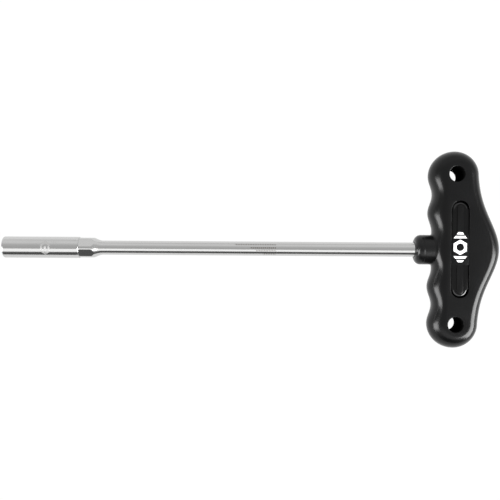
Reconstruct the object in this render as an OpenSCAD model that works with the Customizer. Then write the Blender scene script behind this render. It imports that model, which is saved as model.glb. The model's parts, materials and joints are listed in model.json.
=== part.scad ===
// T-handle socket wrench for 8 mm hexagons, lying flat.
// The origin is the centre of the socket's mouth. +X runs along the shaft to the handle,
// +Y runs across the handle and +Z is the thickness of the handle.

/* [Socket] */
// Size across the flats of the nut that the socket drives
nut_size = 8; // [7:0.5:10]
// Play of the hexagon in the socket over the nut, across the flats
nut_play = 0.06; // [0.02:0.01:0.12]
// Wall of the socket outside the corners of its hexagon
socket_wall = 1.35; // [1:0.05:2]
// Length of the socket, from its mouth to the seam against the bolster
socket_len = 42.8; // [36:0.1:60]
// Depth of the hexagon from the mouth
hex_depth = 12; // [8:0.5:14]
// Depth of the hollow that clears a long stud, from the mouth
stud_depth = 30; // [18:0.5:31]
// Diameter of the hollow that clears a long stud
stud_d = 7; // [5:0.1:7]
// Width of the bead at the rear end of the socket
bead_w = 0.7; // [0.5:0.05:1]
// Width of the turned groove in front of the bead
bead_groove_w = 0.8; // [0.4:0.05:1]
// Depth of the turned groove in front of the bead
bead_groove_depth = 0.15; // [0.1:0.05:0.3]
// Chamfer of the socket at the seam
seam_chamfer = 0.3; // [0.1:0.05:0.4]
// Radius of the rounded outer edge at the mouth
mouth_round = 1; // [0.4:0.1:1]
// Lead-in chamfer of the hexagon at the mouth
mouth_chamfer = 0.15; // [0.1:0.05:0.2]

/* [Shaft] */
// Diameter of the round shaft
shaft_d = 8; // [6.5:0.1:8.5]
// Distance from the mouth of the socket to the front of the handle's collar
reach = 230; // [150:1:350]
// Size across the flats of the hexagon bolster
bolster_size = 11; // [10:0.1:11.5]
// Length of the bolster's flats
bolster_len = 7.1; // [6:0.1:12]
// Least step from the socket down to the turned corners of the bolster, across both sides
bolster_step = 0.1; // [0:0.1:0.8]
// Chamfer of the bolster's corners at the seam
bolster_chamfer = 0.3; // [0.2:0.1:0.8]
// Length of the taper from the bolster down to the round shaft
taper_len = 6; // [4:0.1:10]
// Angle that the bolster's top corner is turned away from +Z
bolster_turn = 3; // [0:0.5:30]
// Diameter of the spigot that the socket is pressed on
spigot_d = 7.4; // [6:0.1:8]
// Length of the spigot inside the socket
spigot_len = 9; // [6:0.5:9.5]

/* [Tang inside the handle] */
// Length of the shaft inside the handle, behind the front of the collar
tang_depth = 27; // [22:0.5:27.5]
// Length of the two flats on the tang
tang_flat_len = 12; // [6:0.5:14]
// Thickness of the tang between its flats
tang_thick = 5.6; // [4.5:0.1:6.4]
// Width of the turned groove that locks the tang lengthwise
lock_groove_w = 2.4; // [1:0.1:3]
// Depth of the turned groove that locks the tang lengthwise
lock_groove_depth = 0.7; // [0.4:0.1:1]
// Distance between the lock groove and the flats of the tang
lock_groove_gap = 1.5; // [1:0.1:2.5]

/* [Collar and core] */
// Diameter of the collar where the shaft enters the handle
collar_d = 16.5; // [14:0.1:17]
// Length of the collar in front of the grip
collar_len = 9.9; // [6:0.1:14]
// Radius of the collar's rounded front edge
collar_round = 3.5; // [1.5:0.1:3.8]
// Distance of the fine collar groove behind the front of the collar
collar_groove_at = 4.1; // [3.6:0.1:5]
// Width of the fine collar groove
collar_groove_w = 0.6; // [0.3:0.1:1]
// Depth of the fine collar groove
collar_groove_depth = 0.1; // [0.05:0.05:0.5]
// Thickness of the core under the window, front to back
core_thick = 11; // [9:0.1:12]
// Ledge of the core that carries the grip around the window
core_ledge = 2.2; // [1.5:0.1:3]

/* [Grip] */
// Width of the T-handle from end to end
grip_width = 109.5; // [95:0.1:130]
// Thickness of the grip, front to back
grip_thick = 20; // [18:0.5:26]
// Distance from the tips of the finger bumps to the back of the grip beside the palm bulge
grip_deep = 27.1; // [26:0.1:34]
// Height of the palm bulge over the back of the grip
palm_rise = 12.1; // [6:0.1:14]
// Half the width of the palm bulge where it has fallen to a third
palm_spread = 22.8; // [16:0.1:26]
// Depth of the finger grooves
finger_depth = 2.4; // [1:0.1:2.6]
// Length of the rounded end beyond the last finger bump
end_len = 13.7; // [12.5:0.1:18]
// Distance of the rounded ends' tips from the tips of the finger bumps
end_offset = 14.1; // [13.5:0.1:16]
// Rounding of the edge on the finger side
finger_edge = 9; // [6:0.1:9.5]
// Rounding of the edge on the palm side
palm_edge = 6.6; // [4:0.1:7]
// Rounding of the edge at the two ends
end_edge = 7.6; // [5:0.1:8]

/* [Hanging holes] */
// Diameter of the hanging holes
hang_d = 8.5; // [6:0.1:9]
// Distance of a hanging hole's centre from the end of the grip
hang_inset = 13.5; // [12.5:0.1:14]
// Distance of the hanging holes' centres from the tips of the finger bumps
hang_offset = 13.6; // [13:0.1:15]

/* [Name plates] */
// Width of the window in the grip
window_w = 9.8; // [8:0.1:11]
// Length of the window in the grip
window_len = 53.4; // [40:0.1:58]
// Distance of the window's middle from the tips of the finger bumps
window_offset = 15.6; // [14.5:0.1:16.5]
// Gap around a name plate in its window
plate_gap = 0.15; // [0.05:0.05:0.3]
// How far a name plate's middle pad lies below the face of the grip
plate_drop = 0.3; // [0.1:0.05:1]
// How far the rib lies below the middle pad
rib_drop = 0.1; // [0:0.05:1]
// Thickness of a name plate's floor
plate_floor = 3; // [1:0.1:3.4]
// Width of the rib along a name plate
rib_w = 3.7; // [2.5:0.1:5]
// Gap between the end of the rib and the end of the plate
rib_end_gap = 2; // [1:0.1:3]
// Length of a name plate's middle pad
pad_len = 17.2; // [12:0.1:24]
// Diameter of the two pegs that hold a name plate
peg_d = 2.6; // [2:0.1:3]
// Length of the pegs
peg_len = 2.4; // [1.5:0.1:3]

/* [Hidden] */
$fn = 96;
CUT = 1;

// socket and shaft
nut_af = nut_size + nut_play;
socket_d = nut_af / cos(30) + 2 * socket_wall;
bolster_x = socket_len;
taper_x = bolster_x + bolster_len;
rod_x = taper_x + taper_len;
bolster_corner_d = min(bolster_size / cos(30), socket_d - bolster_step);
tang_end_x = reach + tang_depth;
lock_groove_x = tang_end_x - tang_flat_len - lock_groove_gap - lock_groove_w;

// handle
finger_x = reach + collar_len - finger_depth;
palm_x = finger_x + grip_deep;
finger_pitch = (grip_width / 2 - end_len) / 2;
end_y = 2 * finger_pitch;
end_x = finger_x + end_offset;
grip_z = grip_thick / 2;
hang_x = finger_x + hang_offset;
hang_y = grip_width / 2 - hang_inset;

// core and name plates
window_x = finger_x + window_offset;
core_z = core_thick / 2;
core_w = window_w + 2 * core_ledge;
core_len = window_len + 2 * core_ledge;
pad_top_z = grip_z - plate_drop;
rib_top_z = pad_top_z - rib_drop;
peg_y = window_len / 2 - window_w / 2;

// density of the taper and of the grip's surface
TAPER_STEPS = 12;
SIDE_STEPS = 36;
END_STEPS = 9;
EDGE_STEPS = 7;

function quarter(i, n) = 90 * i / n;
function mix(a, b, t) = a + (b - a) * t;

// Share of the bolster's height that is left along the taper, from 1 at t = 0 to 0 at t = 1:
// a soft shoulder that runs out in a hollow.
function taper_share(t) = pow(1 - t, 2) / 2 + (1 + cos(180 * t)) / 4;

// A solid cylinder along X from x0 to x1.
module bar_x(d, x0, x1) {
    translate([x0, 0, 0]) rotate([0, 90, 0]) cylinder(d = d, h = x1 - x0);
}

// A hexagon bar along X from x0 to x1, with a corner on top before it is turned.
module hex_bar_x(across_flats, x0, x1, turn = 0) {
    translate([x0, 0, 0]) rotate([turn, 0, 0]) rotate([0, 90, 0])
        cylinder(d = across_flats / cos(30), h = x1 - x0, $fn = 6);
}

// A profile of [distance from the axis, x] points turned around the X axis.
module turned_x(profile) {
    rotate([0, 90, 0]) rotate_extrude() polygon(profile);
}

// Points of a quarter circle from the angle a0 to a1 around c.
function arc(c, r, a0, a1, n = 8) =
    [for (i = [0:n]) c + r * [cos(mix(a0, a1, i / n)), sin(mix(a0, a1, i / n))]];

// An upright plate with round ends, centred on the window and standing on z0.
module obround_y(w, len, z0, z1) {
    translate([window_x, 0, z0]) linear_extrude(z1 - z0) {
        square([w, len - w], center = true);
        for (side = [-1, 1]) translate([0, side * (len - w) / 2]) circle(d = w);
    }
}

// ---- socket: a turned sleeve, broached to a hexagon, pressed on the shaft's spigot ----
module socket() {
    r = socket_d / 2;
    mouth_r = nut_af / cos(30) / 2 + mouth_chamfer;
    groove_x = socket_len - bead_w - bead_groove_w;
    color("gainsboro") difference() {
        turned_x(concat(
            [[0, 0]],
            arc([r - mouth_round, mouth_round], mouth_round, -90, 0),
            [[r, groove_x], [r - bead_groove_depth, groove_x + bead_groove_depth],
             [r - bead_groove_depth, groove_x + bead_groove_w - bead_groove_depth],
             [r, groove_x + bead_groove_w],
             [r, socket_len - seam_chamfer], [r - seam_chamfer, socket_len], [0, socket_len]]));
        hex_bar_x(nut_af, -CUT, hex_depth);
        turned_x([[0, -CUT], [mouth_r + CUT, -CUT], [0, mouth_r]]);
        bar_x(stud_d, hex_depth - CUT, stud_depth);
        bar_x(spigot_d, socket_len - spigot_len, socket_len + CUT);
    }
}

// ---- shaft: spigot, hexagon bolster with its taper, rod and flattened tang ----
module shaft() {
    rod_r = shaft_d / 2;
    corner_r = bolster_corner_d / 2;
    color("gainsboro") {
        difference() {
            union() {
                bar_x(spigot_d, bolster_x - spigot_len, bolster_x + CUT);
                intersection() {
                    hex_bar_x(bolster_size, bolster_x, rod_x, bolster_turn);
                    turned_x(concat(
                        [[0, bolster_x], [corner_r - bolster_chamfer, bolster_x],
                         [corner_r, bolster_x + bolster_chamfer]],
                        [for (i = [0:TAPER_STEPS]) let (t = i / TAPER_STEPS)
                            [mix(rod_r, corner_r, taper_share(t)), mix(taper_x, rod_x, t)]],
                        [[0, rod_x]]));
                }
                bar_x(shaft_d, rod_x - CUT, tang_end_x);
            }
            for (side = [-1, 1])
                translate([tang_end_x - tang_flat_len, -shaft_d, side > 0 ? tang_thick / 2 : -shaft_d])
                    cube([tang_flat_len + CUT, 2 * shaft_d, shaft_d - tang_thick / 2]);
            difference() {
                bar_x(shaft_d + CUT, lock_groove_x, lock_groove_x + lock_groove_w);
                bar_x(shaft_d - 2 * lock_groove_depth, lock_groove_x - CUT,
                      lock_groove_x + lock_groove_w + CUT);
            }
        }
    }
}

// ---- core: the hard inner moulding, with the collar that shows in front of the grip ----
module core_body() {
    r = collar_d / 2;
    groove_x = reach + collar_groove_at;
    turned_x(concat(
        [[0, reach], [r - collar_round, reach]],
        arc([r - collar_round, reach + collar_round], collar_round, -90, 0),
        [[r, groove_x], [r - collar_groove_depth, groove_x + collar_groove_w / 4],
         [r - collar_groove_depth, groove_x + collar_groove_w * 3 / 4],
         [r, groove_x + collar_groove_w],
         [r, window_x], [0, window_x]]));
    obround_y(core_w, core_len, -core_z, core_z);
}

module handle_core() {
    color("#1d1e20") difference() {
        intersection() {
            core_body();
            translate([reach, -core_len, -collar_d]) cube([grip_deep * 2, 2 * core_len, 2 * collar_d]);
        }
        shaft();
        window_floor_cut();
        for (side = [-1, 1]) name_plate_pegs(side);
    }
}

// The neck is cut back to the core's thickness under the two windows.
module window_floor_cut() {
    for (side = [-1, 1])
        mirror([0, 0, side > 0 ? 0 : 1]) obround_y(window_w, window_len, core_z, grip_thick);
}

// ---- name plates: the pieces that close the window on each face ----
module name_plate_pegs(side) {
    for (end = [-1, 1])
        translate([window_x, end * peg_y, side * core_z])
            mirror([0, 0, side > 0 ? 1 : 0]) cylinder(d = peg_d, h = peg_len, $fn = 32);
}

module name_plate(side) {
    w = window_w - 2 * plate_gap;
    len = window_len - 2 * plate_gap;
    color("#17181a") {
        mirror([0, 0, side > 0 ? 0 : 1]) {
            obround_y(w, len, core_z, core_z + plate_floor);
            obround_y(rib_w, len - 2 * rib_end_gap, core_z, rib_top_z);
            translate([window_x - w / 2, -pad_len / 2, core_z])
                cube([w, pad_len, pad_top_z - core_z]);
        }
        name_plate_pegs(side);
    }
}

module front_name_plate() { name_plate(1); }
module rear_name_plate() { name_plate(-1); }

// ---- grip: the outer moulding ----
// Plan outline of the grip, shrunk towards the middle of its face by "fall",
// which goes from 0 at mid thickness to 1 on the flat face.
function finger_side(y, fall) =
    finger_x + finger_edge * fall
    + finger_depth * (1 - fall) * (1 - cos(360 * y / finger_pitch)) / 2;
function palm_side(y, fall) =
    palm_x - palm_edge * fall + palm_rise * exp(-pow(y / palm_spread, 2));
function end_reach(fall) = end_len - end_edge * fall;

// Stations from one end of the grip to the other, each [y, finger side x, palm side x].
function end_station(end, a, fall) = [
    end * (end_y + end_reach(fall) * sin(a)),
    mix(end_x, finger_side(end_y, fall), cos(a)),
    mix(end_x, palm_side(end_y, fall), cos(a))];
function stations(fall) = concat(
    [for (i = [END_STEPS:-1:1]) end_station(-1, quarter(i, END_STEPS), fall)],
    [for (i = [0:SIDE_STEPS]) let (y = mix(-end_y, end_y, i / SIDE_STEPS))
        [y, finger_side(y, fall), palm_side(y, fall)]],
    [for (i = [1:END_STEPS]) end_station(1, quarter(i, END_STEPS), fall)]);

// One ring of the skin at the angle "lift" above mid thickness.
function ring(lift) = let (fall = 1 - cos(lift), z = grip_z * sin(lift), s = stations(fall)) concat(
    [for (p = s) [p[1], p[0], z]],
    [for (i = [len(s) - 2:-1:1]) [s[i][2], s[i][0], z]]);

module grip_skin() {
    lifts = [for (j = [-EDGE_STEPS:EDGE_STEPS]) quarter(j, EDGE_STEPS)];
    rings = [for (a = lifts) ring(a)];
    n = len(rings[0]);
    last = (len(rings) - 1) * n;
    half = n / 2;
    skin = [for (j = [0:len(rings) - 2], i = [0:n - 1])
        [j * n + i, j * n + (i + 1) % n, (j + 1) * n + (i + 1) % n, (j + 1) * n + i]];
    // each flat face is laid in strips between a finger point and the palm point beside it
    strips = [for (i = [0:half - 1]) [i, i + 1, n - i - 1, (n - i) % n]];
    bottom = [for (f = strips) [f[0], f[3], f[2], f[1]]];
    top = [for (f = strips) [for (v = f) last + v]];
    polyhedron(points = [for (r = rings) each r], faces = concat(skin, bottom, top));
}

module handle_grip() {
    color("#222326") difference() {
        grip_skin();
        core_body();
        for (side = [-1, 1])
            translate([hang_x, side * hang_y, -grip_z - CUT]) cylinder(d = hang_d, h = grip_thick + 2 * CUT);
        obround_y(window_w, window_len, -grip_z - CUT, grip_z + CUT);
    }
}

socket();
shaft();
handle_core();
handle_grip();
front_name_plate();
rear_name_plate();
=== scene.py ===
# %% [markdown]
# # A T-handle socket wrench
#
# This tool turns small hexagon nuts in deep places. A steel socket is pressed on the end of a long
# chromed shaft, and a black cross handle with finger grooves turns it. It lies flat on a pale table.
#
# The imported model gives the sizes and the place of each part. Everything here is built around it,
# in the same frame: +X along the shaft to the handle, +Y across the handle, +Z up.

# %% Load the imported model
import bpy
import bmesh
import json
import math
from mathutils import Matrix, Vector


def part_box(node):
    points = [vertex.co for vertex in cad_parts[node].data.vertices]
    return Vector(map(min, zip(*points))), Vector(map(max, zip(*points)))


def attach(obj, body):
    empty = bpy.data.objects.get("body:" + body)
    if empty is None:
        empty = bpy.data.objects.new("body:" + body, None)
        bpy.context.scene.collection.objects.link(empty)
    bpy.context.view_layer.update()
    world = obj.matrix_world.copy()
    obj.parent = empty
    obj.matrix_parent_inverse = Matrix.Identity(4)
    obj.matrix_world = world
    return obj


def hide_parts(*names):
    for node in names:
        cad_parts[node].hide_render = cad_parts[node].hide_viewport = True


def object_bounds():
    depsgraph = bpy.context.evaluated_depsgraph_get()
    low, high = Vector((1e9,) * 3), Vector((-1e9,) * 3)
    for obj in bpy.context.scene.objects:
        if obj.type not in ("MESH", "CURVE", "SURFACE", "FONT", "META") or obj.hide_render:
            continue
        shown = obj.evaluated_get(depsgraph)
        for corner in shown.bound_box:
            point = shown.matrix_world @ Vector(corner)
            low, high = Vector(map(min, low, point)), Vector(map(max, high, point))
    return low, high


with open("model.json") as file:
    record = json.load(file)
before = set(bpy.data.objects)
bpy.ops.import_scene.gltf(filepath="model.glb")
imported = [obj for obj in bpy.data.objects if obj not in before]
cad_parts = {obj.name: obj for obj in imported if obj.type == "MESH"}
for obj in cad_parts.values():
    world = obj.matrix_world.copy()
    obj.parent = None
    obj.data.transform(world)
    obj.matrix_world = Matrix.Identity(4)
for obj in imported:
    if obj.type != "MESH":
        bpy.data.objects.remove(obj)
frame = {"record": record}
CAD_LOW, CAD_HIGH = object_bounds()

# %% [markdown]
# Makers think in millimetres and Blender in metres, so every size below is in millimetres and one
# factor turns it into metres when a mesh is made. The main sizes come from the boxes and the mounts
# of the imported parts, so a piece can't drift away from the part that it stands for.

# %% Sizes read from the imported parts
MM = 0.001


def box_mm(node):
    """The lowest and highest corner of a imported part, in millimetres."""
    low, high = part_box(node)
    return low / MM, high / MM


MOUNTS = {m["name"]: m for m in frame["record"]["mounts"]}
SOCKET_HIGH = box_mm("socket")[1]
SHAFT_LOW, SHAFT_HIGH = box_mm("shaft")
CORE_LOW, CORE_HIGH = box_mm("handle_core")
GRIP_LOW, GRIP_HIGH = box_mm("handle_grip")

SOCKET_LENGTH = SOCKET_HIGH.x
SOCKET_RADIUS = SOCKET_HIGH.y
COLLAR_FRONT = CORE_LOW.x
COLLAR_RADIUS = CORE_HIGH.z
HANG_HOLE = Vector(MOUNTS["hanging_hole_a"]["pos_m"]) / MM
HANG_RADIUS = MOUNTS["hanging_hole_a"]["dims"]["r_mm"]
STUD_RADIUS = MOUNTS["stud_clearance"]["dims"]["r_mm"]
print(f"socket {SOCKET_LENGTH:.1f} long, {2 * SOCKET_RADIUS:.1f} across; handle {2 * GRIP_HIGH.y:.1f} wide")

# %% [markdown]
# ## The camera
#
# The tool is seen from straight above, as in a catalogue, from a little under half a metre. A long
# way off, the shaft would look the same everywhere. This near, the hanging holes show their inner
# walls and a sliver of the table through them.

# %% The camera
CAMERA_PLACE = Vector((141.02, -10.72, 401.75))
CAMERA_TURN = (-0.983, 0.396, 0.384)
CAMERA_LENS = 51.54
CAMERA_SHIFT = 0.06

camera_data = bpy.data.cameras.new("camera")
camera_data.lens = CAMERA_LENS
camera_data.shift_y = CAMERA_SHIFT
camera = bpy.data.objects.new("camera", camera_data)
camera.location = CAMERA_PLACE * MM
camera.rotation_euler = [math.radians(a) for a in CAMERA_TURN]
bpy.context.scene.collection.objects.link(camera)
bpy.context.scene.camera = camera
print("camera", [round(v, 4) for v in camera.location])

# %% [markdown]
# ## Shader maths as Python
#
# A procedural finish is a formula. Written as a chain of nodes it is hard to read, so one small class
# wraps an output socket, and Python's own operators add the Math nodes: `1 - mask * 0.5` builds two.
# Any other node is made by one method that takes its type, its settings and what goes in its sockets.

# %% The node helpers
class Value:
    """A number or a vector that varies over a surface: one output socket."""

    def __init__(self, graph, socket):
        self.graph, self.socket = graph, socket

    def math(self, operation, *others):
        return self.graph.maths(operation, self, *others)

    def __add__(self, other):
        return self.math("ADD", other)

    def __radd__(self, other):
        return self.graph.maths("ADD", other, self)

    def __sub__(self, other):
        return self.math("SUBTRACT", other)

    def __rsub__(self, other):
        return self.graph.maths("SUBTRACT", other, self)

    def __mul__(self, other):
        return self.math("MULTIPLY", other)

    def __rmul__(self, other):
        return self.graph.maths("MULTIPLY", other, self)

    def __truediv__(self, other):
        return self.math("DIVIDE", other)

    def __rtruediv__(self, other):
        return self.graph.maths("DIVIDE", other, self)

    def __abs__(self):
        return self.math("ABSOLUTE")

    def least(self, other):
        return self.math("MINIMUM", other)

    def most(self, other):
        return self.math("MAXIMUM", other)

    def step(self, low, high):
        """0 at low, 1 at high, with soft ends; low may be the larger one."""
        return self.graph.node(
            "ShaderNodeMapRange",
            {"interpolation_type": "SMOOTHSTEP"},
            {"Value": self, "From Min": low, "From Max": high},
        )


class Graph:
    """The node tree of one material or of the world."""

    def __init__(self, tree):
        self.tree = tree

    def plug(self, value, socket):
        if isinstance(value, Value):
            self.tree.links.new(value.socket, socket)
        else:
            socket.default_value = value

    def node(self, kind, settings=None, inputs=None, out=0):
        """Adds a node: its settings first, then its sockets. Gives the output asked for."""
        made = self.tree.nodes.new(kind)
        for name, value in (settings or {}).items():
            if name == "stops":
                ramp = made.color_ramp
                while len(ramp.elements) < len(value):
                    ramp.elements.new(0.5)
                for element, (place, shade) in zip(ramp.elements, value):
                    element.position = place
                    element.color = (shade, shade, shade, 1)
            else:
                setattr(made, name, value)
        for name, value in (inputs or {}).items():
            self.plug(value, made.inputs[name])
        return Value(self, made.outputs[out])

    def maths(self, operation, *values):
        return self.node("ShaderNodeMath", {"operation": operation}, dict(enumerate(values)))

    def vector(self, x, y, z):
        return self.node("ShaderNodeCombineXYZ", {}, {"X": x, "Y": y, "Z": z})

    def parts(self, vector):
        split = self.node("ShaderNodeSeparateXYZ", {}, {"Vector": vector}).socket.node
        return [Value(self, split.outputs[i]) for i in range(3)]

    def place(self):
        """Where a point is on the object, as x, y and z in millimetres."""
        where = self.node("ShaderNodeTexCoord", out="Object")
        sockets = {"Vector": where, "Scale": 1 / MM}
        scaled = self.node("ShaderNodeVectorMath", {"operation": "SCALE"}, sockets)
        return self.parts(scaled)

    def noise(self, x, y, z, size, detail=2.0, roughness=0.5):
        """Soft random spots of about this size in millimetres, from 0 to 1."""
        return self.node(
            "ShaderNodeTexNoise",
            {},
            {"Vector": self.vector(x, y, z), "Scale": 1 / size, "Detail": detail, "Roughness": roughness},
        )

    def blend(self, factor, a, b):
        """Colour a where the factor is 0 and colour b where it is 1."""
        mixed = self.node(
            "ShaderNodeMix",
            {"data_type": "RGBA"},
            {"Factor": factor},
        ).socket.node
        self.plug(a, mixed.inputs[6])
        self.plug(b, mixed.inputs[7])
        return Value(self, mixed.outputs[2])

    def bump(self, height, depth):
        """A surface normal that leans as if the surface rose by height times depth millimetres."""
        sockets = {"Height": height, "Distance": depth * MM, "Strength": 1.0}
        return self.node("ShaderNodeBump", {}, sockets)


def grey(shade, tint=(0.0, 0.0, 0.0)):
    """An opaque colour: one shade of grey, moved a little by the tint."""
    return (shade + tint[0], shade + tint[1], shade + tint[2], 1.0)


def finish(name, **sockets):
    """A new material with one Principled shader, and the graph that feeds it."""
    made = bpy.data.materials.new(name)
    made.use_nodes = True
    shader = made.node_tree.nodes["Principled BSDF"]
    graph = Graph(made.node_tree)
    for key, value in sockets.items():
        shader.inputs[key.replace("_", " ")].default_value = value
    return made, graph, shader


print("node helpers ready")

# %% [markdown]
# ## Finishes
#
# Satin chrome is a mirror that has been brushed before it was plated. Its colour hardly changes, and
# what makes it look like metal is the room it reflects. The brushing runs round the turned socket
# and leaves lines far finer than the eye resolves, so it shows as a slightly blurred mirror with
# faint rings in it.
#
# Two marks are cut into it. A nut shape with a few ticks behind it is stamped on the socket, and rows
# of plain ticks are etched on the rod. Each mark is a mask worked out from the place along the axis
# and the turn round it. Inside the mask the mirror is hazier, and the etched rows are darker too.

# %% The marks in the chrome
STAMP_X = 24.6
STAMP_ROUND = -0.4
STAMP_HALF_X = 2.6
STAMP_HALF_Y = 4.2
STAMP_RING = (0.55, 1.0)
STAMP_DOT = 0.30
TICK_START = 27.6
TICK_END = 30.8
TICK_PITCH = 0.8
TICK_TURN = 0.5
TICK_HALF_TURN = 0.09
TICK_SHARE = 0.28
ETCH_END = 152.6
ETCH_HALF_TURN = 0.10
ETCH_SHARE = 0.30
ETCH_ROWS = ((0.55, 129.8, 0.95, 0.8), (0.08, 138.2, 1.1, 1.0), (-0.30, 141.6, 0.9, 0.7),
             (-0.85, 145.2, 1.3, 0.8))


def within(value, middle, half, edge=0.08):
    """1 where the value is this near the middle, with an edge that fades over a short way."""
    return abs(value - middle).step(half + edge / 2, half - edge / 2)


def socket_mark(g, x, turn):
    """A stamped nut shape round the top of the socket, and four small ticks behind it."""
    along = abs(x - STAMP_X) / STAMP_HALF_X
    round_it = abs(turn * SOCKET_RADIUS - STAMP_ROUND) / STAMP_HALF_Y
    from_middle = along.most(along * 0.5 + round_it * 0.95)
    hole, rim = STAMP_RING
    ring = from_middle.step(rim, rim - 0.05) * from_middle.step(hole, hole + 0.07)
    dot = from_middle.step(STAMP_DOT, STAMP_DOT - 0.06)
    phase = g.maths("FRACT", (x - TICK_START) / TICK_PITCH)
    middle, half = (TICK_START + TICK_END) / 2, (TICK_END - TICK_START) / 2
    row = within(phase, 0.5, TICK_SHARE, 0.1) * within(x, middle, half)
    row = row * within(turn, TICK_TURN, TICK_HALF_TURN, 0.02)
    return (ring + dot).least(1.0) + row * 0.5


def shaft_mark(g, x, turn):
    """Etched rows of plain ticks round the top of the rod, all ending at the same place."""
    rows = []
    for at, start, pitch, strength in ETCH_ROWS:
        phase = g.maths("FRACT", x / pitch)
        middle, half = (start + ETCH_END) / 2, (ETCH_END - start) / 2
        row = within(phase, 0.5, ETCH_SHARE, 0.12) * within(x, middle, half)
        rows.append(row * within(turn, at, ETCH_HALF_TURN, 0.03) * strength)
    return sum(rows[1:], rows[0])


print("marks:", len(ETCH_ROWS), "etched rows and one stamp")

# %% [markdown]
# One recipe makes the chrome of both parts. Very thin rings of noise tilt the surface and roughen it,
# soft clouds and a few pits vary it, and the mark comes in as one more mask. The socket is turned
# more finely than the rod, so its rings lie closer together.

# %% The satin chrome finishes
CHROME = (0.60, 0.60, 0.595, 1.0)
CHROME_SHADE = (0.50, 0.50, 0.49, 1.0)
ETCH_SHADE = (0.16, 0.145, 0.13, 1.0)
CLOUD_SIZE = 9.0
PIT_SIZE = 0.8
PIT_LEVEL = 0.70
HAZE = 0.06
RING_HAZE = 0.05
PIT_HAZE = 0.15
CLOUD_TINT = 0.25
PIT_TINT = 0.3
RING_HEIGHT = 0.8
MARK_HAZE = 0.32
MARK_DEPTH = 3
CHROME_RELIEF = 0.004


def chrome(name, ring_size, along_size, roughness, mark, darkness):
    """Satin chrome on a part turned about X: rings of one size, streaks of another along the part."""
    made, g, shader = finish(name, Metallic=1.0)
    x, y, z = g.place()
    cut = mark(g, x, g.maths("ARCTAN2", y, z))
    rings = g.noise(x / ring_size, y / along_size, z / along_size, 1.0, detail=3.0)
    cloud = g.noise(x, y, z, CLOUD_SIZE)
    pits = g.noise(x, y, z, PIT_SIZE, detail=4.0, roughness=0.7).step(PIT_LEVEL, PIT_LEVEL + 0.1)
    haze = (cloud - 0.5) * HAZE + (rings - 0.5) * RING_HAZE + pits * PIT_HAZE
    g.plug(haze + cut * MARK_HAZE + roughness, shader.inputs["Roughness"])
    plain = g.blend(cloud * CLOUD_TINT + pits * PIT_TINT, CHROME, CHROME_SHADE)
    g.plug(g.blend(cut * darkness, plain, ETCH_SHADE), shader.inputs["Base Color"])
    height = rings * RING_HEIGHT - pits - cut * MARK_DEPTH
    g.plug(g.bump(height, CHROME_RELIEF), shader.inputs["Normal"])
    return made


SOCKET_FINISH = chrome("socket chrome", 0.09, 6.0, 0.12, socket_mark, darkness=0.12)
SHAFT_FINISH = chrome("shaft chrome", 0.14, 8.0, 0.13, shaft_mark, darkness=1.0)
print("chrome:", SOCKET_FINISH.name, SHAFT_FINISH.name)

# %% [markdown]
# Moulded black plastic copies the steel mould that it was made in. The mould for a grip is spark
# eroded, which leaves a fine, even, pebbled skin, here a bump a few thousandths of a millimetre deep.
# The walls of the hanging holes carry painted shade: a mask mixes in a second, black shader with no
# reflection, so they stay dark. The name plates have some of this painted shade in the channels beside
# their rib, and their sloping rim is glossy.

# %% The moulded plastic finishes
PLATE_FLOOR = 9.25
HOLE_FADE = (HANG_RADIUS + 0.30, HANG_RADIUS + 0.05)
RIM_FADE = (PLATE_FLOOR - 0.005, PLATE_FLOOR - 0.03)
CHANNEL_FADE = (PLATE_FLOOR + 0.25, PLATE_FLOOR + 0.15)
# How much painted shade lies in the plate channels.
CHANNEL_SHADE_SHARE = 0.3
# Painted shade for the hole walls and the plate channels: a black shader with no reflection.
PAINTED_SHADE_BLACK = grey(0.004)
PAINTED_SHADE_ROUGHNESS = 0.9
RIM_ROUGHNESS = 0.08
PATCH_SIZE = 14.0
PATCH_HAZE = 0.10
GRAIN_HAZE = 0.08
DUSTY = 1.5
DUST_SIZE = 0.5
DUST_LEVEL = 0.76
PARTING_FADE = (0.16, 0.06)
PARTING_HEIGHT = 10


def hole_wall_shade(x, y, z):
    """Painted shade: 1 on the walls of the two hanging holes and 0 on the faces round them."""
    aside, along = x - HANG_HOLE.x, abs(y) - HANG_HOLE.y
    outer, inner = HOLE_FADE
    return (aside * aside + along * along).step(outer ** 2, inner ** 2)


def mix_in_painted_shade(g, shader, mask):
    """Mixes in painted shade, a black shader with no reflection, where the mask is 1."""
    sockets = {"Base Color": PAINTED_SHADE_BLACK, "Roughness": PAINTED_SHADE_ROUGHNESS, "Specular IOR Level": 0.0}
    # This black shader with no reflection paints shade over the masked places.
    painted_shade = g.node("ShaderNodeBsdfPrincipled", {}, sockets)
    both = g.node("ShaderNodeMixShader", {}, {"Fac": mask, 1: Value(g, shader.outputs[0]), 2: painted_shade})
    g.plug(both, g.tree.nodes["Material Output"].inputs["Surface"])


def channel_shade(x, y, z):
    """Some painted shade on the floor of a name plate, in the channels beside its rib."""
    return abs(z).step(*CHANNEL_FADE) * abs(z).step(*RIM_FADE[::-1]) * CHANNEL_SHADE_SHARE


def at_rim(x, y, z):
    """1 on the polished rim of a name plate, which slopes away below its floor."""
    return abs(z).step(*RIM_FADE)


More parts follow.
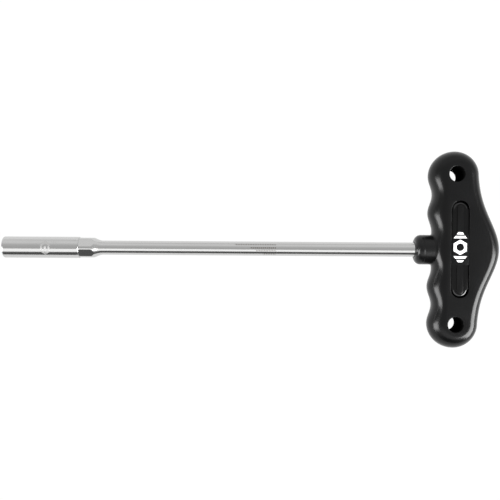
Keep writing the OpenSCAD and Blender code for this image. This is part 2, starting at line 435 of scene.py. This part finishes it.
def plastic(name, shade, roughness, grain_size, grain_depth, specular, painted_shade_part=None, glossy=None):
    """Black plastic with a pebbled skin and a parting line, and masks for its painted shade and glossy
    parts.
    """
    made, g, shader = finish(name, Specular_IOR_Level=specular)
    x, y, z = g.place()
    grain = g.noise(x, y, z, grain_size, detail=3.0, roughness=0.6)
    cloud = g.noise(x, y, z, PATCH_SIZE, detail=3.0)
    dust = g.noise(x, y, z, DUST_SIZE, detail=1.0).step(DUST_LEVEL, DUST_LEVEL + 0.06)
    haze = (cloud - 0.5) * PATCH_HAZE + (grain - 0.5) * GRAIN_HAZE
    g.plug(haze + roughness, shader.inputs["Roughness"])
    dusty = grey(shade * DUSTY, (0.0, 0.0002, 0.0008))
    g.plug(g.blend(cloud * 0.4 + dust * 0.6, grey(shade), dusty), shader.inputs["Base Color"])
    parting = abs(z).step(*PARTING_FADE)
    g.plug(g.bump(grain + parting * PARTING_HEIGHT, grain_depth), shader.inputs["Normal"])
    if painted_shade_part:
        mix_in_painted_shade(g, shader, painted_shade_part(x, y, z))
    if glossy:
        shader.inputs["Coat Roughness"].default_value = RIM_ROUGHNESS
        g.plug(glossy(x, y, z), shader.inputs["Coat Weight"])
    return made


# The grip's hole walls get painted shade.
GRIP_FINISH = plastic("grip plastic", 0.001, 0.24, 0.16, 0.002, 0.26, hole_wall_shade)
CORE_FINISH = plastic("core plastic", 0.0015, 0.26, 0.12, 0.003, 0.30)
# The plates' channels get some painted shade.
PLATE_FINISH = plastic("plate plastic", 0.001, 0.22, 0.10, 0.002, 0.25, channel_shade, at_rim)
print("plastic:", GRIP_FINISH.name, CORE_FINISH.name, PLATE_FINISH.name)

# %% [markdown]
# The white mark is pad printed: a thin layer of ink, its colour and gloss a little uneven in patches.

# %% The white print
INK_GRAIN = 0.35
INK_WHITE = grey(0.86)
INK_THIN = grey(0.74)


def ink(name):
    """White pad print on plastic."""
    made, g, shader = finish(name, Specular_IOR_Level=0.4)
    x, y, z = g.place()
    film = g.noise(x, y, z, INK_GRAIN, detail=3.0, roughness=0.6)
    g.plug(g.blend(film.step(0.35, 0.8) * 0.5, INK_WHITE, INK_THIN), shader.inputs["Base Color"])
    g.plug(film * 0.2 + 0.38, shader.inputs["Roughness"])
    g.plug(g.bump(film, 0.004), shader.inputs["Normal"])
    return made


INK = ink("white print")
print("ink:", INK.name)

# %% [markdown]
# ## Turned parts
#
# A lathe makes a round part from a profile: the distance from the axis at each place along it. The
# same idea makes the mesh. Each profile point becomes a ring of vertices, and neighbouring rings are
# joined with four-sided faces. A ring may also be told to be out of round, which gives a hexagon.

# %% The lathe
TURN_STEPS = 120


def new_piece(name, mesh, material, node):
    """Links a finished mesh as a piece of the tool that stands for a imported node."""
    piece = bpy.data.objects.new(name, mesh)
    bpy.context.scene.collection.objects.link(piece)
    mesh.materials.clear()
    mesh.materials.append(material)
    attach(piece, "root")
    if node:
        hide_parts(node)
    return piece


def smooth(mesh, sharp_angle=38):
    """Smooth shading, with edges that turn more than the angle left crisp."""
    mesh.polygons.foreach_set("use_smooth", [True] * len(mesh.polygons))
    mesh.set_sharp_from_angle(angle=math.radians(sharp_angle))
    mesh.update()
    return mesh


def arc(x, radius, size, start, end, steps=10):
    """Profile points round a centre at (x, radius), from one angle to another. 0 points outward."""
    turns = [math.radians(start + (end - start) * i / steps) for i in range(steps + 1)]
    return [(x + size * math.sin(a), radius + size * math.cos(a)) for a in turns]


def lathe(name, profile, shape=None, closed=False):
    """A mesh turned about X. shape(x, radius, angle) gives the real radius; angle 0 is up, towards +Z."""
    points, rings = [], []
    for x, radius in profile:
        if radius == 0:
            rings.append([len(points)])
            points.append((x * MM, 0, 0))
            continue
        ring = []
        for i in range(TURN_STEPS):
            angle = 2 * math.pi * i / TURN_STEPS
            r = shape(x, radius, angle) if shape else radius
            ring.append(len(points))
            points.append((x * MM, -r * math.sin(angle) * MM, r * math.cos(angle) * MM))
        rings.append(ring)
    pairs = list(zip(rings, rings[1:]))
    if closed:
        pairs.append((rings[-1], rings[0]))
    faces = []
    for a, b in pairs:
        for i in range(TURN_STEPS):
            j = (i + 1) % TURN_STEPS
            corners = [a[i % len(a)], a[j % len(a)], b[j % len(b)], b[i % len(b)]]
            face = [v for k, v in enumerate(corners) if v not in corners[:k]]
            if len(face) > 2:
                faces.append(face)
    mesh = bpy.data.meshes.new(name)
    mesh.from_pydata(points, [], faces)
    return outward(mesh)


def outward(mesh):
    """Turns every face of a closed mesh to look outward."""
    work = bmesh.new()
    work.from_mesh(mesh)
    bmesh.ops.recalc_face_normals(work, faces=work.faces)
    if work.calc_volume(signed=True) < 0:
        bmesh.ops.reverse_faces(work, faces=work.faces)
    work.to_mesh(mesh)
    work.free()
    return mesh


def hexagon(across_flats, angle, turn=0.0):
    """Radius of a hexagon at this angle; one corner points up before it is turned."""
    from_corner = (angle - turn) % (math.pi / 3)
    return across_flats / 2 / math.cos(from_corner - math.pi / 6)


print("lathe ready,", TURN_STEPS, "steps round")

# %% [markdown]
# ## The socket
#
# A socket is a turned sleeve. A broach cuts the hexagon into its mouth, and behind the hexagon a
# plain drilled hollow lets a long stud pass. The outer edge of the mouth is well rounded, and a
# small bead is turned next to the seam where the socket meets the shaft.

# %% The socket
HEX_AF = 8.06
HEX_DEPTH = 12.0
HEX_FLOOR = 0.4
STUD_DEPTH = 30.0
STUD_POINT = 1.5
REAR_POINT = 0.6
MOUTH_ROUND = 1.0
MOUTH_LAND = 0.1
HEX_CORNER = 4.60
SPIGOT_RADIUS = 3.7
BEAD = 0.7
BEAD_GROOVE = 0.8
BEAD_GROOVE_DEPTH = 0.05
BEAD_RAMP = 0.3
SEAM_EDGE = 0.3


def socket_shape(x, radius, angle):
    """Rings marked with the hexagon's size follow the broached hexagon and its lead-in chamfer."""
    if radius != HEX_AF:
        return radius
    flat = min(hexagon(HEX_AF, angle), HEX_CORNER)
    chamfer = SOCKET_RADIUS - MOUTH_ROUND - MOUTH_LAND - x
    return max(flat, chamfer)


def socket_profile():
    """From the bottom of the rear bore, round the outside and into the mouth to the drill point."""
    r, end = SOCKET_RADIUS, SOCKET_LENGTH
    groove = end - BEAD - BEAD_GROOVE
    dip = BEAD_GROOVE_DEPTH
    rear = [(SHAFT_LOW.x - REAR_POINT, 0), (SHAFT_LOW.x, SPIGOT_RADIUS), (end, SPIGOT_RADIUS),
            (end, r - SEAM_EDGE)]
    bead = arc(end - SEAM_EDGE, r - SEAM_EDGE, SEAM_EDGE, 90, 0, 5) + [(groove + BEAD_GROOVE, r)]
    ring = [(groove + BEAD_GROOVE - BEAD_RAMP, r - dip), (groove + BEAD_RAMP, r - dip), (groove, r)]
    body = [(groove - 2 * i, r) for i in range(1, 19)]
    mouth = arc(MOUTH_ROUND, r - MOUTH_ROUND, MOUTH_ROUND, 0, -90, 12)
    depths = [0, 0.05, 0.1, 0.15, 0.2, 0.3, 0.4, 0.5, 0.6, 0.7, 0.8, 0.95, 2, 5, 8, HEX_DEPTH - 0.2]
    hexes = [(d, HEX_AF) for d in depths]
    hollow = [(HEX_DEPTH, STUD_RADIUS + HEX_FLOOR), (HEX_DEPTH, STUD_RADIUS), (20, STUD_RADIUS)]
    bottom = [(STUD_DEPTH - STUD_POINT, STUD_RADIUS), (STUD_DEPTH, 0)]
    return rear + bead + ring + body + mouth + hexes + hollow + bottom


socket_mesh = smooth(lathe("socket", socket_profile(), socket_shape), 30)
socket = new_piece("socket_body", socket_mesh, SOCKET_FINISH, "socket")
print(socket.name, len(socket.data.polygons), "faces")

# %% [markdown]
# ## The shaft
#
# The shaft is one bar. Behind the socket it is forged out to a hexagon that a spanner can hold, and
# a hollow curve leads from the hexagon down to the round rod. The hexagon is turned off at its
# corners, so the real radius is whichever is less: the hexagon or the turned envelope. Taking the
# lesser of the two with a small rounding gives the soft edge that forging and plating leave.

# %% The shaft
ROD_RADIUS = 4.0
BOLSTER_AF = 11.0
BOLSTER_LENGTH = 7.1
BOLSTER_TURN = math.radians(3)
BOLSTER_CORNER = SOCKET_RADIUS - 0.05
BOLSTER_CHAMFER = 0.25
TAPER_LENGTH = 6.0
EDGE_SOFTNESS = 0.06
TANG_FLATS = 12.0
TANG_HALF = 2.8
GROOVE_WIDTH = 2.4
GROOVE_DEPTH = 0.7
GROOVE_GAP = 1.5
TAPER_START = SOCKET_LENGTH + BOLSTER_LENGTH
ROD_START = TAPER_START + TAPER_LENGTH


def mix(a, b, t):
    return a + (b - a) * t


def taper_share(t):
    """Share of the bolster's height left along the taper: a soft shoulder that runs out in a hollow."""
    return (1 - t) ** 2 / 2 + (1 + math.cos(math.pi * t)) / 4


def soft_least(a, b, softness):
    """The lesser of two lengths, rounded off where they cross."""
    near = max(0.0, 1 - abs(a - b) / softness / 2)
    return min(a, b) - softness * near * near / 2


def shaft_shape(x, radius, angle):
    """The hexagon between the seam and the rod, the two flats on the tang, and round elsewhere."""
    if SOCKET_LENGTH < x < ROD_START:
        return soft_least(hexagon(BOLSTER_AF, angle, BOLSTER_TURN), radius, EDGE_SOFTNESS)
    if x > SHAFT_HIGH.x - TANG_FLATS:
        return min(radius, TANG_HALF / max(abs(math.cos(angle)), 1e-6))
    return radius


def shaft_profile():
    """The turned envelope of the shaft, from the front of the spigot to the end of the tang."""
    seam, tang = SOCKET_LENGTH, SHAFT_HIGH.x
    spigot = [(SHAFT_LOW.x, 0), (SHAFT_LOW.x, SPIGOT_RADIUS - 0.3), (SHAFT_LOW.x + 0.3, SPIGOT_RADIUS)]
    face = [(seam, SPIGOT_RADIUS), (seam + 0.001, BOLSTER_CORNER - BOLSTER_CHAMFER)]
    chamfer = [(seam + BOLSTER_CHAMFER * i / 6, BOLSTER_CORNER - BOLSTER_CHAMFER * (1 - i / 6))
               for i in range(1, 7)]
    flats = [(seam + BOLSTER_CHAMFER + (BOLSTER_LENGTH - BOLSTER_CHAMFER) * i / 12, BOLSTER_CORNER)
             for i in range(1, 12)]
    taper = [(mix(TAPER_START, ROD_START, i / 48), mix(ROD_RADIUS, BOLSTER_CORNER, taper_share(i / 48)))
             for i in range(49)]
    rod_end = tang - TANG_FLATS
    rod = [(ROD_START + (COLLAR_FRONT - ROD_START) * i / 60, ROD_RADIUS) for i in range(1, 61)]
    groove_out = rod_end - GROOVE_GAP
    groove_in = groove_out - GROOVE_WIDTH
    low = ROD_RADIUS - GROOVE_DEPTH
    groove = [(groove_in, ROD_RADIUS), (groove_in, low), (groove_out, low), (groove_out, ROD_RADIUS)]
    flat = [(rod_end, ROD_RADIUS), (rod_end + 0.001, ROD_RADIUS), (tang, ROD_RADIUS), (tang, 0)]
    return spigot + face + chamfer + flats + taper + rod + groove + flat


shaft_mesh = smooth(lathe("shaft", shaft_profile(), shaft_shape), 30)
shaft = new_piece("shaft_bar", shaft_mesh, SHAFT_FINISH, "shaft")
print(shaft.name, len(shaft.data.polygons), "faces")

# %% [markdown]
# ## Cutting and joining
#
# Two solids are joined or cut with Blender's exact boolean. The tool is a modifier, but its result is
# taken straight into the mesh, so nothing is left to work out later.

# %% The boolean helper
def combine(mesh, tool, operation):
    """The mesh joined with, or cut by, another closed mesh."""
    a = bpy.data.objects.new("a", mesh)
    b = bpy.data.objects.new("b", tool)
    for made in (a, b):
        bpy.context.scene.collection.objects.link(made)
    step = a.modifiers.new("combine", "BOOLEAN")
    step.operation, step.solver, step.object = operation, "EXACT", b
    result = bpy.data.meshes.new_from_object(a.evaluated_get(bpy.context.evaluated_depsgraph_get()))
    for made in (a, b):
        bpy.data.objects.remove(made)
    return result


def ring_stack(name, rings):
    """A closed solid from a stack of outlines with the same number of points, each in metres."""
    count = len(rings[0])
    points = [p for ring in rings for p in ring]
    faces = [list(range(count))[::-1], [len(points) - count + i for i in range(count)]]
    for j in range(len(rings) - 1):
        for i in range(count):
            k = (i + 1) % count
            faces.append([j * count + i, j * count + k, (j + 1) * count + k, (j + 1) * count + i])
    mesh = bpy.data.meshes.new(name)
    mesh.from_pydata(points, [], faces)
    return outward(mesh)


def obround(x, y, width, length, steps=16):
    """An upright outline with round ends, as x and y in millimetres."""
    r, reach = width / 2, length / 2 - width / 2
    outline = []
    for end, first in ((1, 0.0), (-1, math.pi)):
        for i in range(steps + 1):
            a = first + math.pi * i / steps
            outline.append((x + r * math.cos(a), y + end * reach + r * math.sin(a)))
    return outline


def slab(name, outline_at, levels):
    """A solid between levels of z; each level is (z, how far the outline is drawn in there)."""
    rings = [[(x * MM, y * MM, z * MM) for x, y in outline_at(inset)] for z, inset in levels]
    return ring_stack(name, rings)


def rounded_top(low, high, radius, steps=5):
    """Levels from low to high with the upper edge rounded by this radius."""
    turns = [math.pi / 2 * i / steps for i in range(steps + 1)]
    return [(low, 0.0)] + [
        (high - radius * (1 - math.sin(a)), radius * (1 - math.cos(a))) for a in turns
    ]


print("cutting and joining ready")

# %% [markdown]
# ## The grip
#
# The grip is one soft-cornered moulding. Its plan is a bar with three finger bumps on the shaft's
# side, a palm swell on the other, and a rounded lobe at each end. In section it is an oval: every
# side falls away from mid thickness to the flat face, but by a different amount on each side.
#
# So the whole skin follows from one rule. At an angle `lift` above mid thickness, the outline is
# drawn in by a share `fall` of each side's edge rounding. Rings of that outline, one for each
# angle, stack up into the skin.

# %% The grip's outline
FINGER_X = GRIP_LOW.x
FINGER_DEPTH = 2.4
PALM_X = FINGER_X + 27.1
PALM_RISE = GRIP_HIGH.x - PALM_X
PALM_SPREAD = 22.8
END_LENGTH = 13.7
END_Y = GRIP_HIGH.y - END_LENGTH
FINGER_PITCH = END_Y / 2
END_X = FINGER_X + 14.1
FINGER_EDGE = 9.0
PALM_EDGE = 6.6
END_EDGE = 7.6
SIDE_STEPS = 160
END_STEPS = 28
EDGE_STEPS = 22


def finger_side(y, fall):
    groove = FINGER_DEPTH * (1 - fall) * (1 - math.cos(2 * math.pi * y / FINGER_PITCH)) / 2
    return FINGER_X + FINGER_EDGE * fall + groove


def palm_side(y, fall):
    return PALM_X - PALM_EDGE * fall + PALM_RISE * math.exp(-((y / PALM_SPREAD) ** 2))


def end_station(end, turn, fall):
    y = end * (END_Y + (END_LENGTH - END_EDGE * fall) * math.sin(turn))
    front = mix(END_X, finger_side(END_Y, fall), math.cos(turn))
    back = mix(END_X, palm_side(END_Y, fall), math.cos(turn))
    return y, front, back


def outline(fall):
    """The grip's outline: up the finger side and back down the palm side, as x and y."""
    turns = [math.pi / 2 * i / END_STEPS for i in range(END_STEPS, 0, -1)]
    places = [mix(-END_Y, END_Y, i / SIDE_STEPS) for i in range(SIDE_STEPS + 1)]
    stations = [end_station(-1, t, fall) for t in turns]
    stations += [(y, finger_side(y, fall), palm_side(y, fall)) for y in places]
    stations += [end_station(1, t, fall) for t in reversed(turns)]
    front = [(x, y) for y, x, _ in stations]
    back = [(x, y) for y, _, x in stations[1:-1]]
    return front + back[::-1]


def grip_rings():
    """Outlines from the rear face to the front face, in metres."""
    rings = []
    for j in range(-EDGE_STEPS, EDGE_STEPS + 1):
        lift = math.pi / 2 * j / EDGE_STEPS
        z = GRIP_HIGH.z * math.sin(lift)
        rings.append([(x * MM, y * MM, z * MM) for x, y in outline(1 - math.cos(lift))])
    return rings


print("outline points:", len(outline(0)))

# %% [markdown]
# A flat face with hundreds of corners shades badly when something is cut out of it. So each face of
# the grip is filled with narrow strips, from a point on the finger side to the point across from it.
#
# Then the grip is cut like the real moulding tool would: the window right through, the two hanging
# holes, and the room for the core and its collar. The hole cutters flare at both ends, which leaves
# a soft rounded rim. Where the collar's neck goes in, the grip flares out to meet it in a small lip.

# %% The grip's body and cutters
HOLE_RIM = 0.35
WINDOW_RIM = 0.12
WINDOW_WIDTH = 9.8
WINDOW_LENGTH = 53.4
WINDOW_X = 253.1
CORE_LEDGE = 2.2
CORE_HALF = 5.5
LIP = 1.2
LIP_STEPS = 7
LIP_OVERLAP = 0.05
LIP_END = WINDOW_X - 5
RIM_STEPS = 6
HOLE_STEPS = 72
CUT_ROOM = 1.0


def grip_body():
    """The uncut skin, with both flat faces filled in strips."""
    rings = grip_rings()
    count, half, last = len(rings[0]), len(rings[0]) // 2, len(rings) - 1
    points = [p for ring in rings for p in ring]
    faces = []
    for j in range(last):
        for i in range(count):
            k = (i + 1) % count
            faces.append([j * count + i, j * count + k, (j + 1) * count + k, (j + 1) * count + i])
    for base in (0, last * count):
        for i in range(half):
            strip = [i, i + 1, count - i - 1, (count - i) % count]
            faces.append([base + v for v in dict.fromkeys(strip)])
    mesh = bpy.data.meshes.new("grip")
    mesh.from_pydata(points, [], faces)
    return outward(mesh)


def flare(half, rim):
    """Levels of a cutter through a plate of this half thickness: (z, how much wider it is there)."""
    turns = [math.pi / 2 * i / RIM_STEPS for i in range(RIM_STEPS + 1)]
    top = [(half - rim * (1 - math.sin(t)), rim * (1 - math.cos(t))) for t in turns]
    top += [(half + CUT_ROOM, rim)]
    bottom = [(-z, wider) for z, wider in reversed(top)]
    return bottom + top


def hole_cutter(x, y, radius):
    """A round cutter along Z that flares at both faces."""
    circle = [2 * math.pi * i / HOLE_STEPS for i in range(HOLE_STEPS)]
    return slab("hole", lambda wider: [
        (x + (radius + wider) * math.cos(a), y + (radius + wider) * math.sin(a)) for a in circle
    ], flare(GRIP_HIGH.z, HOLE_RIM))


def window_cutter():
    """The window, through the whole grip, with a rounded rim at both faces."""
    return slab("window", lambda wider: obround(
        WINDOW_X, 0, WINDOW_WIDTH + 2 * wider, WINDOW_LENGTH + 2 * wider
    ), flare(GRIP_HIGH.z, WINDOW_RIM))


def core_cutter():
    """The room for the core's spine."""
    return slab("core", lambda _: obround(
        WINDOW_X, 0, WINDOW_WIDTH + 2 * CORE_LEDGE, WINDOW_LENGTH + 2 * CORE_LEDGE
    ), [(-CORE_HALF, 0), (CORE_HALF, 0)])


def neck_fillet():
    """A plug along X that flares from the neck's radius onto the finger side."""
    def skin(radius, angle):
        y, z = radius * math.sin(angle), radius * math.cos(angle)
        return finger_side(y, 1 - math.sqrt(1 - (z / GRIP_HIGH.z) ** 2))

    turns = [2 * math.pi * i / TURN_STEPS for i in range(TURN_STEPS)]
    wide = COLLAR_RADIUS + LIP
    levels = [([COLLAR_FRONT + CUT_ROOM] * TURN_STEPS, COLLAR_RADIUS - CUT_ROOM)]
    for k in range(LIP_STEPS + 1):
        phi = math.pi / 2 * k / LIP_STEPS
        rise = math.sin(phi)
        along = [mix(skin(COLLAR_RADIUS, a) - LIP, skin(wide, a) + LIP_OVERLAP, rise) for a in turns]
        levels.append((along, COLLAR_RADIUS + LIP * (1 - math.cos(phi))))
    levels.append(([LIP_END] * TURN_STEPS, wide))
    return ring_stack("fillet", [
        [(x * MM, -r * math.sin(a) * MM, r * math.cos(a) * MM) for x, a in zip(along, turns)]
        for along, r in levels
    ])


grip_mesh = combine(grip_body(), neck_fillet(), "UNION")
grip_mesh = combine(grip_mesh, core_cutter(), "DIFFERENCE")
grip_mesh = combine(grip_mesh, window_cutter(), "DIFFERENCE")
for side in (-1, 1):
    cutter = hole_cutter(HANG_HOLE.x, side * abs(HANG_HOLE.y), HANG_RADIUS)
    grip_mesh = combine(grip_mesh, cutter, "DIFFERENCE")
neck_front = COLLAR_FRONT - CUT_ROOM
neck_room = lathe("neck room", [(neck_front, 0), (neck_front, COLLAR_RADIUS),
                                (WINDOW_X, COLLAR_RADIUS), (WINDOW_X, 0)])
grip_mesh = combine(grip_mesh, neck_room, "DIFFERENCE")
grip = new_piece("grip_moulding", smooth(grip_mesh, 32), GRIP_FINISH, "handle_grip")
print(grip.name, len(grip.data.polygons), "faces")

# %% [markdown]
# ## The core
#
# The core is the hard plastic that the shaft is moulded into. Only its collar shows in front of the
# grip, but the spine behind it fills the grip and closes the window from the inside.

# %% The core
COLLAR_ROUND = 3.5
COLLAR_GROOVE_AT = 4.1
COLLAR_GROOVE = 0.6
COLLAR_GROOVE_DEPTH = 0.1
COLLAR_MOUTH = 0.35
GROOVE_SLOPE = 0.15
NECK_MIDDLE = COLLAR_FRONT + 12
NECK_END = WINDOW_X - 4


def collar_profile():
    """The collar and neck: from the shaft out over the rounded front and back into the handle."""
    r, front = COLLAR_RADIUS, COLLAR_FRONT
    centre = front + COLLAR_ROUND
    groove = front + COLLAR_GROOVE_AT
    low = r - COLLAR_GROOVE_DEPTH
    mouth = [(front + COLLAR_MOUTH, ROD_RADIUS), (front, ROD_RADIUS + COLLAR_MOUTH)]
    nose = arc(centre, r - COLLAR_ROUND, COLLAR_ROUND, -90, 0, 16)
    ring = [(groove, r), (groove + GROOVE_SLOPE, low), (groove + COLLAR_GROOVE - GROOVE_SLOPE, low),
            (groove + COLLAR_GROOVE, r)]
    back = [(NECK_MIDDLE, r), (NECK_END, r), (NECK_END, ROD_RADIUS)]
    return mouth + nose + ring + back


def window_room(side):
    """Clears the neck above the spine, where a name plate sits."""
    levels = [(side * CORE_HALF, 0), (side * (GRIP_HIGH.z + CUT_ROOM), 0)]
    return slab("room", lambda _: obround(WINDOW_X, 0, WINDOW_WIDTH, WINDOW_LENGTH), levels)


core_mesh = combine(lathe("collar", collar_profile(), closed=True), core_cutter(), "UNION")
for side in (-1, 1):
    core_mesh = combine(core_mesh, window_room(side), "DIFFERENCE")
core = new_piece("core_moulding", smooth(core_mesh, 30), CORE_FINISH, "handle_core")
print(core.name, len(core.data.polygons), "faces")

# %% [markdown]
# ## The name plates
#
# A plate closes the window on each face. It is a floor with a rib along its middle, and a raised pad
# in the centre for the maker's mark. Its two round ends slope away to the rim, which catches the
# lamps as a bright arc, while its long sides are almost sharp.

# %% The name plates
PLATE_GAP = 0.30
PLATE_X = WINDOW_X + 0.15
RIB_TOP = 9.6
PAD_TOP = 9.7
RIB_WIDTH = 3.7
RIB_LENGTH = 49.1
RIB_ROUND = 0.35
SIDE_ROUND = 0.1
END_ROUND = 1.6
END_FADE = 0.2
PAD_LENGTH = 17.2
PAD_CORNER = 0.5
PAD_ROUND = 0.2


def pad_outline(inset):
    """A rectangle with slightly rounded corners, as wide as the plate."""
    half_w = WINDOW_WIDTH / 2 - PLATE_GAP - inset
    half_l = PAD_LENGTH / 2 - inset
    points = []
    for cx, cy, first in ((1, 1, 0), (-1, 1, 90), (-1, -1, 180), (1, -1, 270)):
        for i in range(6):
            a = math.radians(first + 18 * i)
            points.append((PLATE_X + cx * (half_w - PAD_CORNER) + PAD_CORNER * math.cos(a),
                           cy * (half_l - PAD_CORNER) + PAD_CORNER * math.sin(a)))
    return points


def plate_outline(width, length, inset):
    """The outline of a floor or a rib: drawn in fully at its round ends, and hardly at its sides."""
    r, reach = width / 2, length / 2 - width / 2
    points = []
    for end, first in ((1, 0.0), (-1, math.pi)):
        for i in range(END_STEPS + 1):
            a = first + math.pi * i / END_STEPS
            share = min(1.0, abs(math.sin(a)) / END_FADE)
            pull = mix(min(inset, SIDE_ROUND), inset, share * share * (3 - 2 * share))
            points.append((PLATE_X + (r - pull) * math.cos(a), end * reach + (r - pull) * math.sin(a)))
    return points


def plate_mesh(side):
    """The floor, the rib and the pad of one plate, joined to one solid."""
    def flip(levels):
        return [(side * z, inset) for z, inset in levels]

    width, length = WINDOW_WIDTH - 2 * PLATE_GAP, WINDOW_LENGTH - 2 * PLATE_GAP
    floor = slab("floor", lambda inset: plate_outline(width, length, inset),
                 flip(rounded_top(CORE_HALF, PLATE_FLOOR, END_ROUND, 10)))
    rib = slab("rib", lambda inset: plate_outline(RIB_WIDTH, RIB_LENGTH, inset),
               flip(rounded_top(CORE_HALF, RIB_TOP, RIB_ROUND)))
    pad = slab("pad", pad_outline, flip(rounded_top(CORE_HALF, PAD_TOP, PAD_ROUND)))
    return combine(combine(floor, rib, "UNION"), pad, "UNION")


for node, side in (("front_name_plate", 1), ("rear_name_plate", -1)):
    name = node.replace("name_", "")
    plate = new_piece(name, smooth(plate_mesh(side), 30), PLATE_FINISH, node)
    print(plate.name, len(plate.data.polygons), "faces")

# %% [markdown]
# The mark on the pad is a thin film of ink that stands a few hundredths proud. It is a plain picture
# of a nut between two arrowheads of bars, which says what the tool is for and belongs to nobody.

# %% The printed mark
NUT_AF = 7.2
NUT_HOLE = 2.1
FILM = 0.04
FILM_ROOT = 0.01
BAR_START = 4.9
BARS = ((BAR_START, 6.2), (7.0, 8.2))
BAR_WIDTH = 7.2
BAR_TAPER = 0.75
MARK_Y = 1.2
NUT_STEPS = 96


def add_film(work, outer, inner=None):
    """Adds a flat film with this outline, and a hole in it if an inner outline is given."""
    low, high = (PAD_TOP - FILM_ROOT) * MM, (PAD_TOP + FILM) * MM
    layers = [[work.verts.new((x * MM, y * MM, z)) for x, y in line]
              for line in (outer, inner) if line for z in (low, high)]
    count = len(outer)
    if inner is None:
        bottom, top = layers
        work.faces.new(top)
        work.faces.new(bottom[::-1])
        pairs = [(bottom, top)]
    else:
        outer_low, outer_high, inner_low, inner_high = layers
        pairs = [(outer_low, outer_high), (outer_high, inner_high), (inner_high, inner_low),
                 (inner_low, outer_low)]
    for a, b in pairs:
        for i in range(count):
            j = (i + 1) % count
            work.faces.new([a[i], a[j], b[j], b[i]])


def bar(side, near, far):
    """A bar from near to far of the mark's middle, narrower at its far end."""
    near_half, far_half = [BAR_WIDTH / 2 - BAR_TAPER * (y - BAR_START) for y in (near, far)]
    near_y, far_y = MARK_Y + side * near, MARK_Y + side * far
    return [(WINDOW_X + near_half, near_y), (WINDOW_X + far_half, far_y),
            (WINDOW_X - far_half, far_y), (WINDOW_X - near_half, near_y)]


def name_mark():
    """The nut and its arrowheads as one mesh."""
    work = bmesh.new()
    turns = [2 * math.pi * i / NUT_STEPS for i in range(NUT_STEPS)]
    nut = [(WINDOW_X + hexagon(NUT_AF, a) * math.sin(a), MARK_Y + hexagon(NUT_AF, a) * math.cos(a))
           for a in turns]
    hole = [(WINDOW_X + NUT_HOLE * math.sin(a), MARK_Y + NUT_HOLE * math.cos(a)) for a in turns]
    add_film(work, nut, hole)
    for near, far in BARS:
        for side in (-1, 1):
            add_film(work, bar(side, near, far))
    mesh = bpy.data.meshes.new("name mark")
    work.to_mesh(mesh)
    work.free()
    return outward(mesh)


mark = new_piece("name_mark", name_mark(), INK, None)
print("mark:", len(mark.data.polygons), "faces")

# %% [markdown]
# ## The table and the light
#
# The table is a white sheet that glows evenly. Its own colour is nearly black, so the lamps can't
# brighten it, and it stays the same plain white from every side.

# %% The table
TABLE_GAP = 0.03
TABLE_Z = GRIP_LOW.z - TABLE_GAP
TABLE_HALF = 3.0
PAPER_SHADE = 0.01
PAPER_GLOW = 1.0

table_mesh = bpy.data.meshes.new("table")
corners = [(-TABLE_HALF, -TABLE_HALF), (TABLE_HALF, -TABLE_HALF), (TABLE_HALF, TABLE_HALF),
           (-TABLE_HALF, TABLE_HALF)]
table_mesh.from_pydata([(x, y, TABLE_Z * MM) for x, y in corners], [], [[0, 1, 2, 3]])
table = bpy.data.objects.new("table", table_mesh)
bpy.context.scene.collection.objects.link(table)
paper, _, paper_shader = finish("white paper", Roughness=0.9, Specular_IOR_Level=0.0)
paper_shader.inputs["Base Color"].default_value = grey(PAPER_SHADE)
paper_shader.inputs["Emission Color"].default_value = grey(1.0)
paper_shader.inputs["Emission Strength"].default_value = PAPER_GLOW
table_mesh.materials.append(paper)
print("table at", round(TABLE_Z, 2), "mm")

# %% [markdown]
# A polished bar shows the room. For a product on a white table, the room is a pale tent, and the only
# dark thing in it is a narrow gap low down on the near side. That gap draws the dark line along the
# shaft.

# %% The room
ROOM = ((-1.0, 0.16), (-0.9, 0.09), (-0.8, 0.20), (-0.7, 0.55), (0.0, 0.58), (0.24, 0.62),
        (0.42, 0.67), (0.59, 0.80), (0.74, 0.92), (0.9, 0.90), (1.0, 0.75))

world = bpy.data.worlds.new("tent")
world.use_nodes = True
bpy.context.scene.world = world
sky = Graph(world.node_tree)
_, across, _ = sky.parts(sky.node("ShaderNodeTexCoord", out="Generated"))
tent = sky.node("ShaderNodeValToRGB", {"stops": [((y + 1) / 2, shade) for y, shade in ROOM]},
                {"Fac": across * 0.5 + 0.5})
sky.plug(tent, world.node_tree.nodes["Background"].inputs["Color"])
print("room:", len(ROOM), "shades")

# %% [markdown]
# A long softbox over the near side draws the bright line along the shaft. Two strong lamps stand low
# beyond the ends of the tool, one for the finger side of the handle and one for its palm side. The
# black handle shows them only where it curves towards them, as bright streaks.

# %% The softboxes
MIDDLE = (CAD_LOW + CAD_HIGH) / 2


def softbox(name, east, north, up, distance, width, height, radiance):
    """A square lamp that looks at the middle of the tool from the given direction."""
    lamp_data = bpy.data.lights.new(name, "AREA")
    lamp_data.shape = "RECTANGLE"
    lamp_data.size, lamp_data.size_y = width, height
    lamp_data.energy = 4 * width * height * radiance
    lamp = bpy.data.objects.new(name, lamp_data)
    direction = Vector((east, north, up)).normalized()
    lamp.location = MIDDLE + direction * distance
    lamp.rotation_euler = direction.to_track_quat("Z", "Y").to_euler()
    bpy.context.scene.collection.objects.link(lamp)
    return lamp


softbox("key", 0.0, -0.563, 0.826, 1.5, 2.1, 0.89, 0.72)
softbox("palm side", 0.80, -0.32, 0.47, 1.2, 0.85, 1.0, 12.5)
softbox("finger side", -0.92, -0.26, 0.35, 1.2, 0.55, 0.8, 10.0)
print("lamps:", len(bpy.data.lights))

# %% [markdown]
# ## The end
#
# The colours are shown as they are, with no film curve, because a catalogue picture on white paper
# has none.

# %% Finish
bpy.context.scene.view_settings.view_transform = "Standard"
